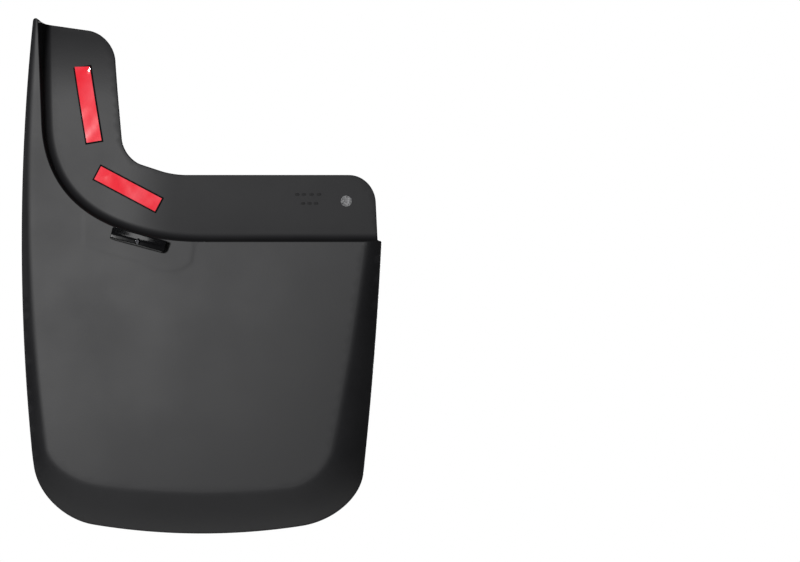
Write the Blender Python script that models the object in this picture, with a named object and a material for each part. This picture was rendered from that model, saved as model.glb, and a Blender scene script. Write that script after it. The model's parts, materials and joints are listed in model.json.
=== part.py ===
"""Moulded truck mud flap, left-hand side, with its foam tape strips and its lip clip.

Seen from behind the truck: X to the right, Z up, and -Y towards the viewer.
The origin lies on the face of the mounting flange that meets the truck's body.
Lengths are in metres and angles in degrees.
"""

import math

import bmesh
import bpy
import numpy as np
from mathutils import Matrix, Vector
from mathutils.geometry import delaunay_2d_cdt, interpolate_bezier

GAP = 0.0003  # clearance between pieces that touch
FILM_GAP = 0.00015  # clearance between a tape and its liner

# Overall outline
WIDTH = 0.303
RIGHT = 0.1104  # the panel's top right corner
DROP = 0.2763  # from the origin down to the lowest point
ARM_TOP = 0.1596  # from the origin up to the tip of the outer strip
WALL = 0.003  # the moulding's thickness

# The panel's lower corners, each as (in from the side, up from the lowest point)
RIGHT_SIDE_END = (0.0153, 0.0529)
RIGHT_CORNER = (0.0185, 0.0139)
RIGHT_FOOT = (0.0684, 0.0066)
LEFT_SIDE_END = (0.0092, 0.0579)
LEFT_CORNER = (0.0135, 0.0143)
LEFT_FOOT = (0.0589, 0.0075)
RIGHT_BOW = 0.0072  # how far the right side has come in at half height
LEFT_BOW_UP = 0.0240  # the left side is widest this far above its middle

# The step between the mounting flange and the panel
STEP = 0.013  # how far the panel stands in front of the flange
LEDGE = 0.0281  # the step's crest, below the origin
WALL_DRAFT = 0.0012
FILLET = 0.007  # inside radius where the step meets the flange

# The crest in plan, each point as (in from the left edge, below the tip)
CREST_TOP = (0.0143, -0.0040)
CREST_TURN = (0.0178, 0.0880)
CREST_CORNER_IN = 0.0213
CREST_END_IN = 0.1556

# The panel's face and its turned-back rim
CROWN = 0.0025
RIM_SLOPE_IN = 22
RIM_SLOPE_OUT = 52
RIM_LEFT = 0.0125
RIM_LEFT_TOP = 0.0035
RIM_BOTTOM = 0.036
RIM_RIGHT_TOP = 0.0118
RIM_FOOT = 0.0733  # the rim's sides end this far above the lowest point

# The rim's lower corners, each as (in from the side, up from the lowest point)
RIM_RIGHT_MIDDLE = (0.0235, 0.0820)  # this one is measured down from the crest
RIM_RIGHT_END = 0.0404
RIM_RIGHT_CORNER = (0.0478, 0.0420)
RIM_RIGHT_FOOT = (0.0790, 0.0395)
RIM_LEFT_FOOT = (0.0666, 0.0419)
RIM_LEFT_CORNER = (0.0275, 0.0475)
RIM_LEFT_MIDDLE = (0.0075, -0.0200)  # this one's height is from the origin

# The mounting flange
FLANGE_TOP = 0.0283
FLANGE_INSET = 0.0033  # the flange stops this far inside the panel's corner
ARM_WIDTH = 0.077
STRIP_WIDTH = 0.0047  # the outer strip at its tip
ARM_BEND_UP = 0.080  # the arm bends back above this height, after the wheel opening's arch
ARM_BEND_RADIUS = 0.22
TIP_IN = 0.0147  # the outer strip's inner corner at its tip, from the left edge

# The arm's free edge, each point as (right of the arm's side, below the tip)
ARM_SHOULDER = (-0.0230, 0.0082)
ARM_CORNER = (-0.0022, 0.0112)
ARM_SIDE = (0.0005, 0.0336)

# The flange's top edge, each point as (right of the arm's side, above the flange's top)
NECK_START = (0.0065, 0.0305)
NECK_CORNER = (0.0078, 0.0137)
NECK_END = (0.0232, 0.0087)
SLOPE_END = (0.0406, 0.0030)
SLOPE_CORNER = (0.0501, 0)
TOP_START = (0.0606, 0)
TOP_CORNER = (0.0245, 0.0240)  # the top right corner's reach along and down

# Foam tape strips: the centre's distance from the left edge and its height, and the turn
TAPE_THICK = 0.0011
LINER_THICK = 0.0002
POCKET_DEPTH = 0.0006
POCKET_MARGIN = 0.0008
UPPER_TAPE = {"in": 0.0552, "up": ARM_TOP - 0.0719, "long": 0.0635, "wide": 0.0127, "turn": 80.7}
LOWER_TAPE = {"in": 0.0890, "up": 0.0165, "long": 0.0580, "wide": 0.0123, "turn": 27.9}

# Date stamp in the flange
STAMP_IN = 0.0298  # from the panel's right corner
STAMP_UP = 0.0059
STAMP_RADIUS = 0.0050
STAMP_DEPTH = 0.0004

# Lip clip, bent from sheet steel
CLIP_LONG = 0.0465
CLIP_TALL = 0.0106
CLIP_SHEET = 0.0012
CLIP_MOUTH = 0.0065
CLIP_BEND = 0.0006  # inside bend radius
CLIP_FLARE = 20
CLIP_FLARE_TALL = 0.0044
CLIP_TURN = 15
CLIP_IN = 0.0996  # the clip's centre, from the left edge
CLIP_UP = 0.0011  # the clip's centre, above the ledge's crest

# Set screw and its swivelling pad
SCREW_RADIUS = 0.0015
SCREW_CHAMFER = 0.0002
SCREW_DOWN = 0.0015  # below the clip's centre
SOCKET_ACROSS = 0.0015
SOCKET_DEPTH = 0.0016
NECK_RADIUS = 0.0009
NECK_LONG = 0.0008
COLLAR_WALL = 0.0006
COLLAR_LONG = 0.0010
PAD_RADIUS = 0.0022
PAD_THICK = 0.0016
PAD_CHAMFER = 0.0003
SCREW_TRAVEL = CLIP_MOUTH - COLLAR_LONG - PAD_THICK - 2 * GAP

# Rivets that hold the clip, with their washers
RIVET_APART = 0.030
RIVET_DOWN = 0.0011
RIVET_RADIUS = 0.0015
RIVET_HEAD_RADIUS = 0.0028
RIVET_HEAD_THICK = 0.0009
RIVET_TAIL_RADIUS = 0.0025
RIVET_TAIL_THICK = 0.0014
WASHER_RADIUS = 0.0030
WASHER_THICK = 0.0008

CUT_PAST = 0.002  # how far a cutter runs past the face it opens

# Mesh fineness
GRID = 0.017
BEND_STEP = 0.008  # spacing of points up the bent arm
ARC_STEPS = 4
ROUND_SIDES = 24

LEFT = RIGHT - WIDTH


def arc_points(start, middle, end, count):
    """Points after start along the circle through three points of the plan."""
    (ax, az), (bx, bz), (cx, cz) = start, middle, end
    d = 2 * (ax * (bz - cz) + bx * (cz - az) + cx * (az - bz))
    a2, b2, c2 = ax * ax + az * az, bx * bx + bz * bz, cx * cx + cz * cz
    ux = (a2 * (bz - cz) + b2 * (cz - az) + c2 * (az - bz)) / d
    uz = (a2 * (cx - bx) + b2 * (ax - cx) + c2 * (bx - ax)) / d
    radius = math.hypot(ax - ux, az - uz)
    first = math.atan2(az - uz, ax - ux)
    swing = math.atan2(cz - uz, cx - ux) - first
    swing = (swing + math.pi) % (2 * math.pi) - math.pi
    angles = [first + swing * (i + 1) / count for i in range(count)]
    return [(ux + radius * math.cos(a), uz + radius * math.sin(a)) for a in angles]


def corner_points(start, corner, end, count, pull=0.56):
    """Points after start along a smooth corner that keeps both tangents."""
    a, c, b = Vector(start), Vector(corner), Vector(end)
    points = interpolate_bezier(a, a.lerp(c, pull), b.lerp(c, pull), b, count + 1)
    return [tuple(p) for p in points[1:]]


def from_left(point):
    """A point given as (in from the left edge, up from the lowest point)."""
    return LEFT + point[0], point[1] - DROP


def from_right(point):
    """A point given as (in from the right edge, up from the lowest point)."""
    return RIGHT - point[0], point[1] - DROP


def below_tip(start, point):
    """A point given as (right of start, below the tip)."""
    return start + point[0], ARM_TOP - point[1]


def tip_start():
    return below_tip(LEFT + TIP_IN, (-STRIP_WIDTH, 0.0022))


def flange_outline():
    """From the tip of the outer strip, down the arm, along the flange to the panel's corner."""
    arm = LEFT + ARM_WIDTH
    tip = below_tip(LEFT + TIP_IN, (0, 0.0018))
    path = [tip_start()]
    path += arc_points(path[0], below_tip(LEFT + TIP_IN, (-STRIP_WIDTH / 2, 0)), tip, 4)
    path += [below_tip(LEFT + TIP_IN, (0.0032, 0.0029)), below_tip(arm, ARM_SHOULDER)]
    path += corner_points(path[-1], below_tip(arm, ARM_CORNER), below_tip(arm, ARM_SIDE), 6)
    neck = [(arm + right, FLANGE_TOP + up) for right, up in (NECK_START, NECK_CORNER, NECK_END)]
    path += [neck[0]] + corner_points(*neck, 6)
    slope = [(arm + right, FLANGE_TOP + up) for right, up in (SLOPE_END, SLOPE_CORNER, TOP_START)]
    path += [slope[0]] + corner_points(*slope, 3)
    side = RIGHT - FLANGE_INSET
    path += [(side - TOP_CORNER[0], FLANGE_TOP)]
    corner, below = (side - 0.0020, FLANGE_TOP), (side - 0.0015, FLANGE_TOP - TOP_CORNER[1])
    path += corner_points(path[-1], corner, below, 6)
    path += [(side, 0.0012 - LEDGE), (RIGHT, -LEDGE)]
    return path


def panel_edge():
    """From the panel's top right corner, down and round to the tip of the outer strip."""
    path = [(RIGHT, -LEDGE)]
    path += arc_points(path[0], (RIGHT - RIGHT_BOW, -DROP / 2), from_right(RIGHT_SIDE_END), 8)
    path += corner_points(path[-1], from_right(RIGHT_CORNER), from_right(RIGHT_FOOT), 9)
    path += arc_points(path[-1], (LEFT + WIDTH / 2, -DROP), from_left(LEFT_FOOT), 10)
    path += corner_points(path[-1], from_left(LEFT_CORNER), from_left(LEFT_SIDE_END), 9)
    path += arc_points(path[-1], (LEFT, (ARM_TOP - DROP) / 2 + LEFT_BOW_UP), tip_start(), 14)
    return path


def rim_line():
    """The line where the panel's face starts to turn back, from its right end to the tip."""
    path = [(RIGHT - RIM_RIGHT_TOP, -LEDGE)]
    middle = (RIGHT - RIM_RIGHT_MIDDLE[0], -LEDGE - RIM_RIGHT_MIDDLE[1])
    path += arc_points(path[0], middle, from_right((RIM_RIGHT_END, RIM_FOOT)), 8)
    path += corner_points(path[-1], from_right(RIM_RIGHT_CORNER), from_right(RIM_RIGHT_FOOT), 6)
    path += arc_points(path[-1], (LEFT + WIDTH / 2, RIM_BOTTOM - DROP), from_left(RIM_LEFT_FOOT), 8)
    left_end = from_left((LEFT_SIDE_END[0] + RIM_LEFT, RIM_FOOT))
    path += corner_points(path[-1], from_left(RIM_LEFT_CORNER), left_end, 6)
    middle = (LEFT + RIM_LEFT_MIDDLE[0], RIM_LEFT_MIDDLE[1])
    path += arc_points(path[-1], middle, (tip_start()[0] + RIM_LEFT_TOP, ARM_TOP), 12)
    return path


def crest_line():
    """The step's crest, from above the tip, down, round and along the ledge past its end."""
    path = [below_tip(LEFT, CREST_TOP), below_tip(LEFT, CREST_TURN)]
    corner, end = (LEFT + CREST_CORNER_IN, -LEDGE), (LEFT + CREST_END_IN, -LEDGE)
    path += corner_points(path[-1], corner, end, 16, 0.65)
    path += [(RIGHT + 0.006, -LEDGE)]
    return path


def stretched(path, count):
    """The same path with its long straight stretches cut into count pieces."""
    out = [path[0]]
    for a, b in zip(path, path[1:]):
        pieces = count if math.dist(a, b) > 3 * GRID else 1
        out += [tuple(Vector(a).lerp(Vector(b), (i + 1) / pieces)) for i in range(pieces)]
    return out


def offset_line(path, distance):
    """The path moved sideways, positive to the left of its direction of travel."""
    points = [Vector(p) for p in path]
    out = []
    for i, p in enumerate(points):
        ahead = points[min(i + 1, len(points) - 1)]
        behind = points[max(i - 1, 0)]
        along = (ahead - behind).normalized()
        out.append((p.x - along.y * distance, p.y + along.x * distance))
    return out


def nearest(points, path):
    """Distance of each point from the path, positive to the left of its direction of travel."""
    path = np.array(path)
    a, ab = path[:-1], path[1:] - path[:-1]
    to = points[:, None] - a[None]
    share = np.clip((to * ab).sum(2) / (ab * ab).sum(1), 0, 1)
    away = to - share[..., None] * ab
    distance = np.sqrt((away**2).sum(2))
    best = distance.argmin(1)
    rows = np.arange(len(points))
    side = ab[best, 0] * to[rows, best, 1] - ab[best, 1] * to[rows, best, 0]
    return np.where(side >= 0, 1, -1) * distance[rows, best]


CREST = stretched(crest_line(), 9)
EDGE = panel_edge()
RIM = rim_line()


def raised(path):
    """The path carried on upwards at both ends, so that the rim's width stays defined there."""
    first, last = path[0], path[-1]
    return [(first[0], first[1] + 0.06)] + path + [(last[0], last[1] + 0.06)]


def rim_turn(points):
    """How far the rim has turned back at each point, and how steep it is there."""
    out = np.abs(nearest(points, raised(EDGE)))
    inner = nearest(points, raised(RIM))
    width = np.maximum(out + np.abs(inner), 1e-6)
    share = np.where(inner > 0, np.abs(inner) / width, 0)
    low, high = math.tan(math.radians(RIM_SLOPE_IN)), math.tan(math.radians(RIM_SLOPE_OUT))
    slope = np.where(inner > 0, low + (high - low) * share, 0)
    return width * (low * share + (high - low) * share**2 / 2), slope


def panel_face(points):
    """The panel's outer face, carried on past the crest, and the share to add to its wall."""
    x, z = points.T
    across = np.clip(2 * (x - LEFT) / WIDTH - 1, -1, 1)
    down = np.clip(2 * (z + LEDGE) / (LEDGE - DROP) - 1, -1, 1)
    back, slope = rim_turn(points)
    face = -STEP - CROWN * (1 - across**2) * (1 - down**2) + back
    return face, np.sqrt(1 + slope**2)


def step_curve(wall):
    """Distance from the crest and depth of the step's face, on the outside or a wall behind it."""
    centre = WALL_DRAFT + FILLET
    radius = FILLET + wall
    turns = [math.pi / 2 * i / ARC_STEPS for i in range(ARC_STEPS + 1)]
    arc = [(centre - radius * math.cos(t), radius * math.sin(t) - FILLET) for t in turns]
    return [(-wall, wall - STEP)] + arc


def arm_bend(heights):
    """How far the arm has bent back at each height."""
    return np.maximum(heights - ARM_BEND_UP, 0) ** 2 / (2 * ARM_BEND_RADIUS)


def surface(points, wall):
    """Depth of the moulding's outer face (wall 0) or of its wheel-side face."""
    from_crest = nearest(points, CREST)
    face, stretch = panel_face(points)
    curve = np.array(step_curve(wall))
    step = np.interp(from_crest, curve[:, 0], curve[:, 1])
    step += arm_bend(points[:, 1]) * (step - wall + STEP) / STEP
    step[from_crest < curve[0, 0] - 1e-7] = -1
    return np.maximum(face + wall * stretch, step)


def finish(bm, name, colour, roughness, metallic=0.0, smooth=30):
    bmesh.ops.recalc_face_normals(bm, faces=bm.faces)
    mesh = bpy.data.meshes.new(name)
    bm.to_mesh(mesh)
    bm.free()
    mesh.shade_smooth()
    mesh.set_sharp_from_angle(angle=math.radians(smooth))
    material = bpy.data.materials.new(name)
    material.use_nodes = True
    shader = material.node_tree.nodes["Principled BSDF"]
    shader.inputs["Base Color"].default_value = (*colour, 1)
    shader.inputs["Roughness"].default_value = roughness
    shader.inputs["Metallic"].default_value = metallic
    mesh.materials.append(material)
    obj = bpy.data.objects.new(name, mesh)
    bpy.context.scene.collection.objects.link(obj)
    return obj


def helper(bm, name):
    """A hidden solid for a Boolean to cut away or join on."""
    obj = finish(bm, name, (1, 0, 0), 0.5)
    obj.hide_render = True
    obj.display_type = "WIRE"
    return obj


def combine(obj, tool, operation="DIFFERENCE"):
    modifier = obj.modifiers.new(tool.name, "BOOLEAN")
    modifier.operation = operation
    modifier.object = tool


def rod(bm, radius, front, back, sides=ROUND_SIDES, at=(0, 0)):
    """A cylinder along Y, between two depths."""
    turn = Matrix.Rotation(math.pi / 2, 4, "X")
    place = Matrix.Translation((at[0], (front + back) / 2, at[1])) @ turn
    bmesh.ops.create_cone(
        bm, cap_ends=True, segments=sides, radius1=radius, radius2=radius,
        depth=abs(back - front), matrix=place,
    )


def turned(bm, profile, sides=ROUND_SIDES):
    """A solid of revolution about Y, from (radius, depth) points that start and end on the axis."""
    verts = [bm.verts.new((r, y, 0)) for r, y in profile]
    edges = [bm.edges.new(pair) for pair in zip(verts, verts[1:])]
    bmesh.ops.spin(
        bm, geom=verts + edges, cent=(0, 0, 0), axis=(0, 1, 0),
        angle=2 * math.pi, steps=sides, use_merge=True,
    )
    bmesh.ops.remove_doubles(bm, verts=bm.verts, dist=1e-7)


def extruded(bm, outline, low, high):
    """A (depth, height) outline carried along X."""
    face = bm.faces.new([bm.verts.new((low, y, z)) for y, z in outline])
    made = bmesh.ops.extrude_face_region(bm, geom=[face])["geom"]
    verts = [v for v in made if isinstance(v, bmesh.types.BMVert)]
    bmesh.ops.translate(bm, verts=verts, vec=(high - low, 0, 0))


def plan_mesh():
    """The plan of the moulding, in triangles whose edges follow the crest and the rim."""
    outline = EDGE[:-1] + stretched(flange_outline(), 9)[:-1]
    spans = {d for wall in (0, WALL) for d, _ in step_curve(wall)}
    lines = [offset_line(CREST, d) for d in sorted(spans)]
    lines.append(RIM)
    for share in (1 / 3, 2 / 3):
        lines.append(between(RIM, EDGE, share))
    points, edges = list(outline), []
    for line in lines:
        first = len(points)
        points += line
        edges += [(i, i + 1) for i in range(first, len(points) - 1)]
    points += panel_grid() + arm_grid()
    vectors = [Vector(p) for p in points]
    verts, _, faces, *_ = delaunay_2d_cdt(vectors, edges, [list(range(len(outline)))], 1, 1e-6)
    return np.array([tuple(v) for v in verts]), faces


def between(inner, outer, share):
    """A line part of the way from the inner line to the nearest points of the outer one."""
    outer_points = np.array(outer)
    out = []
    for p in inner[:-1]:
        reach = outer_points - np.array(p)
        nearest_one = outer_points[(reach**2).sum(1).argmin()]
        out.append(tuple(np.array(p) + (nearest_one - np.array(p)) * share))
    return out


def panel_grid():
    """Points spread over the crowned middle of the panel, clear of its lines."""
    xs = np.arange(LEFT + GRID, RIGHT, GRID)
    zs = np.arange(-DROP + GRID, ARM_TOP, GRID)
    grid = np.array([(x, z) for x in xs for z in zs])
    clear = (nearest(grid, CREST) < -GRID / 2) & (nearest(grid, raised(RIM)) < -GRID / 2)
    return [tuple(p) for p in grid[clear]]


def arm_grid():
    """Points up the bent part of the arm, clear of the fillet and of the free edge."""
    left = LEFT + CREST_TURN[0] + WALL_DRAFT + FILLET + BEND_STEP / 2
    right = LEFT + ARM_WIDTH - BEND_STEP / 2
    top = ARM_TOP - ARM_CORNER[1] - 2 * BEND_STEP
    heights = np.arange(ARM_BEND_UP, top, BEND_STEP)
    return [(x, z) for x in np.linspace(left, right, 4) for z in heights]


def flap_shell():
    plan, faces = plan_mesh()
    front, back = surface(plan, 0), surface(plan, WALL)
    bm = bmesh.new()
    outside = [bm.verts.new((x, y, z)) for (x, z), y in zip(plan, front)]
    inside = [bm.verts.new((x, y, z)) for (x, z), y in zip(plan, back)]
    uses = {}
    for face in faces:
        bm.faces.new([outside[i] for i in face])
        bm.faces.new([inside[i] for i in reversed(face)])
        for pair in zip(face, face[1:] + face[:1]):
            uses.setdefault(frozenset(pair), []).append(pair)
    for pairs in uses.values():
        if len(pairs) == 1:
            a, b = pairs[0]
            bm.faces.new([outside[b], outside[a], inside[a], inside[b]])
    return finish(bm, "flap_shell", (0.045, 0.045, 0.047), 0.55)


def tape_place(tape):
    spot = (LEFT + tape["in"], 0, tape["up"])
    return Matrix.Translation(spot) @ Matrix.Rotation(math.radians(tape["turn"]), 4, "Y")


def slab(tape, margin, front, back):
    """A strip over the tape's place, between two depths, that follows the arm's bend."""
    long, wide = tape["long"] / 2 + margin, tape["wide"] / 2 + margin
    steps = round(2 * long / BEND_STEP)
    bm = bmesh.new()
    rings = []
    for i in range(steps + 1):
        x = long * (2 * i / steps - 1)
        corners = [(-wide, front), (wide, front), (wide, back), (-wide, back)]
        rings.append([bm.verts.new((x, y, z)) for z, y in corners])
    for ring, other in zip(rings, rings[1:]):
        for i in range(4):
            bm.faces.new([ring[i], ring[i - 1], other[i - 1], other[i]])
    bm.faces.new(rings[0])
    bm.faces.new(reversed(rings[-1]))
    bmesh.ops.transform(bm, matrix=tape_place(tape), verts=bm.verts)
    for vert in bm.verts:
        vert.co.y += float(arm_bend(vert.co.z))
    bmesh.ops.triangulate(bm, faces=bm.faces)
    return bm


def add_tape(shell, name, tape):
    """A pocket in the flange, a strip of foam tape in it, and the liner over the foam."""
    floor = POCKET_DEPTH - GAP
    face = floor - TAPE_THICK
    liner = face - FILM_GAP
    pocket = slab(tape, POCKET_MARGIN, -CUT_PAST, POCKET_DEPTH)
    combine(shell, helper(pocket, name + "_pocket"))
    finish(slab(tape, 0, face, floor), name + "_foam", (0.02, 0.02, 0.02), 0.9)
    finish(slab(tape, 0, liner - LINER_THICK, liner), name + "_liner", (0.82, 0.02, 0.04), 0.35)


def add_stamp(shell):
    """A round sunk spot in the flange, where the mould carries its date dial."""
    bm = bmesh.new()
    rod(bm, STAMP_RADIUS, -CUT_PAST, STAMP_DEPTH, at=(RIGHT - STAMP_IN, STAMP_UP))
    combine(shell, helper(bm, "stamp_recess"))


def bend(centre, radius, first, last, steps=4):
    """Points of a bend in the clip's section, from one angle to another."""
    angles = [math.radians(first + (last - first) * i / steps) for i in range(steps + 1)]
    return [(centre[0] + radius * math.cos(a), centre[1] + radius * math.sin(a)) for a in angles]


def clip_section():
    """The clip's (depth, height) outline: a tall U open at the top, its front leg flared."""
    half = CLIP_TALL / 2
    deep = CLIP_MOUTH + 2 * CLIP_SHEET
    outer = CLIP_BEND + CLIP_SHEET
    crease = half - CLIP_FLARE_TALL
    out = CLIP_FLARE_TALL * math.tan(math.radians(CLIP_FLARE))
    shift = CLIP_SHEET * math.tan(math.radians(CLIP_FLARE / 2))
    back_bend, front_bend = (-outer, outer - half), (outer - deep, outer - half)
    section = [(0, half)]
    section += bend(back_bend, outer, 0, -90)
    section += bend(front_bend, outer, -90, -180)
    section += [(-deep, crease), (-deep - out, half)]
    section += [(CLIP_SHEET - deep - out, half), (CLIP_SHEET - deep, crease - shift)]
    section += bend(front_bend, CLIP_BEND, -180, -90)
    section += bend(back_bend, CLIP_BEND, -90, 0)
    section += [(-CLIP_SHEET, half)]
    return section


def clip_place():
    """The clip's own axes: X along it, Y into the panel, Z across it, the origin behind its back leg."""
    place = Matrix.Translation((LEFT + CLIP_IN, 0, CLIP_UP - LEDGE))
    place = place @ Matrix.Rotation(math.radians(CLIP_TURN), 4, "Y")
    corners = [(x, z) for x in (-CLIP_LONG / 2, 0, CLIP_LONG / 2) for z in (-CLIP_TALL / 2, 0)]
    world = [place @ Vector((x, 0, z)) for x, z in corners]
    seat = surface(np.array([(p.x, p.z) for p in world]), 0).min() - GAP
    return Matrix.Translation((0, seat, 0)) @ place


def panel_back(x, z):
    """Depth of the panel's wheel side behind a washer centred on a point of the clip."""
    place = clip_place()
    reach = [(0, 0)] + [
        (WASHER_RADIUS * math.cos(math.pi * i / 4), WASHER_RADIUS * math.sin(math.pi * i / 4))
        for i in range(8)
    ]
    world = [place @ Vector((x + dx, 0, z + dz)) for dx, dz in reach]
    deepest = surface(np.array([(p.x, p.z) for p in world]), WALL).max()
    return deepest - place.translation.y


def screw_axis():
    return clip_place() @ Matrix.Translation((0, 0, -SCREW_DOWN))


def add_clip():
    """The clip, with a threaded collar for the screw and two rivet holes."""
    deep = CLIP_MOUTH + 2 * CLIP_SHEET
    inner = CLIP_SHEET - deep
    bm = bmesh.new()
    extruded(bm, clip_section(), -CLIP_LONG / 2, CLIP_LONG / 2)
    clip = finish(bm, "lip_clip", (0.01, 0.01, 0.011), 0.18)
    clip.matrix_world = clip_place()

    bm = bmesh.new()
    radius = SCREW_RADIUS + GAP + COLLAR_WALL
    rod(bm, radius, inner - CLIP_SHEET / 2, inner + COLLAR_LONG, at=(0, -SCREW_DOWN))
    collar = helper(bm, "clip_collar")
    collar.matrix_world = clip_place()
    combine(clip, collar, "UNION")

    bm = bmesh.new()
    rod(bm, SCREW_RADIUS + GAP, -deep - CUT_PAST, inner + COLLAR_LONG + CUT_PAST, at=(0, -SCREW_DOWN))
    bore = helper(bm, "clip_bore")
    bore.matrix_world = clip_place()
    combine(clip, bore)
    return clip


def add_rivets(shell, clip):
    """Two rivets through the clip's back leg and the panel, each with a washer behind."""
    for side, name in ((-1, "left"), (1, "right")):
        x = side * RIVET_APART / 2
        place = clip_place() @ Matrix.Translation((x, 0, -RIVET_DOWN))
        washer = panel_back(x, -RIVET_DOWN) + GAP
        tail = washer + WASHER_THICK + GAP

        bm = bmesh.new()
        rod(bm, RIVET_RADIUS + GAP, -CLIP_SHEET - GAP / 2, tail + CUT_PAST, 16)
        hole = helper(bm, "rivet_hole_" + name)
        hole.matrix_world = place
        combine(shell, hole)
        combine(clip, hole)

        head = -CLIP_SHEET - GAP
        bm = bmesh.new()
        turned(bm, [
            (0, head - RIVET_HEAD_THICK),
            (RIVET_HEAD_RADIUS * 0.7, head - RIVET_HEAD_THICK),
            (RIVET_HEAD_RADIUS, head - RIVET_HEAD_THICK * 0.4),
            (RIVET_HEAD_RADIUS, head),
            (RIVET_RADIUS, head),
            (RIVET_RADIUS, tail),
            (RIVET_TAIL_RADIUS, tail),
            (RIVET_TAIL_RADIUS * 0.9, tail + RIVET_TAIL_THICK * 0.7),
            (RIVET_TAIL_RADIUS * 0.5, tail + RIVET_TAIL_THICK),
            (0, tail + RIVET_TAIL_THICK),
        ])
        rivet = finish(bm, "clip_rivet_" + name, (0.55, 0.55, 0.56), 0.35, 1.0)
        rivet.matrix_world = place

        bm = bmesh.new()
        inner = RIVET_RADIUS + GAP
        ring = [
            (inner, washer),
            (WASHER_RADIUS, washer),
            (WASHER_RADIUS, washer + WASHER_THICK),
            (inner, washer + WASHER_THICK),
            (inner, washer),
        ]
        turned(bm, ring)
        plate = finish(bm, "clip_washer_" + name, (0.5, 0.5, 0.51), 0.4, 1.0)
        plate.matrix_world = place


def add_screw():
    """The set screw, backed out, and the pad that turns on its neck."""
    deep = CLIP_MOUTH + 2 * CLIP_SHEET
    pad_back = CLIP_SHEET - deep + COLLAR_LONG + GAP
    shoulder = pad_back - GAP
    end = -deep - SCREW_TRAVEL - GAP
    bm = bmesh.new()
    turned(bm, [
        (0, end),
        (SCREW_RADIUS - SCREW_CHAMFER, end),
        (SCREW_RADIUS, end + SCREW_CHAMFER),
        (SCREW_RADIUS, shoulder),
        (NECK_RADIUS, shoulder),
        (NECK_RADIUS, shoulder + NECK_LONG),
        (0, shoulder + NECK_LONG),
    ])
    screw = finish(bm, "set_screw", (0.6, 0.6, 0.62), 0.3, 1.0)
    screw.matrix_world = screw_axis()

    bm = bmesh.new()
    across = SOCKET_ACROSS / math.sqrt(3)
    rod(bm, across, end - CUT_PAST, end + SOCKET_DEPTH, 6)
    socket = helper(bm, "hex_socket")
    socket.matrix_world = screw_axis()
    combine(screw, socket)

    bm = bmesh.new()
    recess = NECK_RADIUS + GAP
    turned(bm, [
        (0, shoulder + NECK_LONG + GAP),
        (recess, shoulder + NECK_LONG + GAP),
        (recess, pad_back),
        (PAD_RADIUS, pad_back),
        (PAD_RADIUS, pad_back + PAD_THICK - PAD_CHAMFER),
        (PAD_RADIUS - PAD_CHAMFER, pad_back + PAD_THICK),
        (0, pad_back + PAD_THICK),
    ])
    pad = finish(bm, "pressure_pad", (0.5, 0.5, 0.5), 0.4, 1.0)
    pad.matrix_world = screw_axis()


def main():
    for obj in list(bpy.data.objects):
        bpy.data.objects.remove(obj)
    shell = flap_shell()
    add_tape(shell, "upper_tape", UPPER_TAPE)
    add_tape(shell, "lower_tape", LOWER_TAPE)
    add_stamp(shell)
    clip = add_clip()
    add_rivets(shell, clip)
    add_screw()


main()
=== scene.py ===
import json
import math

import bmesh
import bpy
import numpy as np
from mathutils import Matrix, Vector
from mathutils.geometry import delaunay_2d_cdt, interpolate_bezier
from mathutils.kdtree import KDTree

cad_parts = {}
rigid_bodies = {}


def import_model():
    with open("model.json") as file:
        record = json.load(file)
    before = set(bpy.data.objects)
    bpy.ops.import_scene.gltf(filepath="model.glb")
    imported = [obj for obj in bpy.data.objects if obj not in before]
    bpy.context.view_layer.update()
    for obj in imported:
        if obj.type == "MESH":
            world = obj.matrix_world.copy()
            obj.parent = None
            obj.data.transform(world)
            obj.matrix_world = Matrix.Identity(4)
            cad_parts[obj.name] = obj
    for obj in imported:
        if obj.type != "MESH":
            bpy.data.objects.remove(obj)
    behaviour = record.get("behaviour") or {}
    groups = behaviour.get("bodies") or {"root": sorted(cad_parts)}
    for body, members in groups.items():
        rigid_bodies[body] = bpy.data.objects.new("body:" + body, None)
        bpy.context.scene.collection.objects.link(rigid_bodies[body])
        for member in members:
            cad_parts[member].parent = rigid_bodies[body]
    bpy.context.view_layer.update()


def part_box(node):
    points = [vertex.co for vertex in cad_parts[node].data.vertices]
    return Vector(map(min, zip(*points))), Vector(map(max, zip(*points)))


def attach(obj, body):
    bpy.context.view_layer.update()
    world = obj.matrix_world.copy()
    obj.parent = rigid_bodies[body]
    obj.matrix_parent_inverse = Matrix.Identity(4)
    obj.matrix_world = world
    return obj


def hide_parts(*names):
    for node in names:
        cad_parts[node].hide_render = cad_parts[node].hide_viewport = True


for startup in list(bpy.data.objects):
    bpy.data.objects.remove(startup)
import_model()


# Shared mesh and material helpers

def toLinear(colour):
    parts = [int(colour[i:i + 2], 16) / 255 for i in (1, 3, 5)]
    return tuple(c / 12.92 if c <= 0.04045 else ((c + 0.055) / 1.055) ** 2.4 for c in parts) + (1,)


def perMm(size):
    return 1000 / size  # texture scale for a feature this many millimetres across


def addNode(tree, kind, settings=None, links=None):
    node = tree.nodes.new(kind)
    for name, value in (settings or {}).items():
        if isinstance(name, str) and hasattr(node, name):
            setattr(node, name, value)
        else:
            node.inputs[name].default_value = value
    for name, source in (links or {}).items():
        tree.links.new(source, node.inputs[name])
    return node


def startMaterial(name, settings):
    material = bpy.data.materials.new(name)
    material.use_nodes = True
    tree = material.node_tree
    shader = tree.nodes["Principled BSDF"]
    for socket, value in settings.items():
        shader.inputs[socket].default_value = value
    place = addNode(tree, "ShaderNodeTexCoord").outputs["Object"]
    return material, tree, shader, place


def ramp(tree, source, stops):
    node = addNode(tree, "ShaderNodeValToRGB", links={"Fac": source})
    for i, (at, colour) in enumerate(stops):
        element = node.color_ramp.elements[i] if i < 2 else node.color_ramp.elements.new(at)
        element.position, element.color = at, toLinear(colour)
    return node.outputs["Color"]


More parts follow.
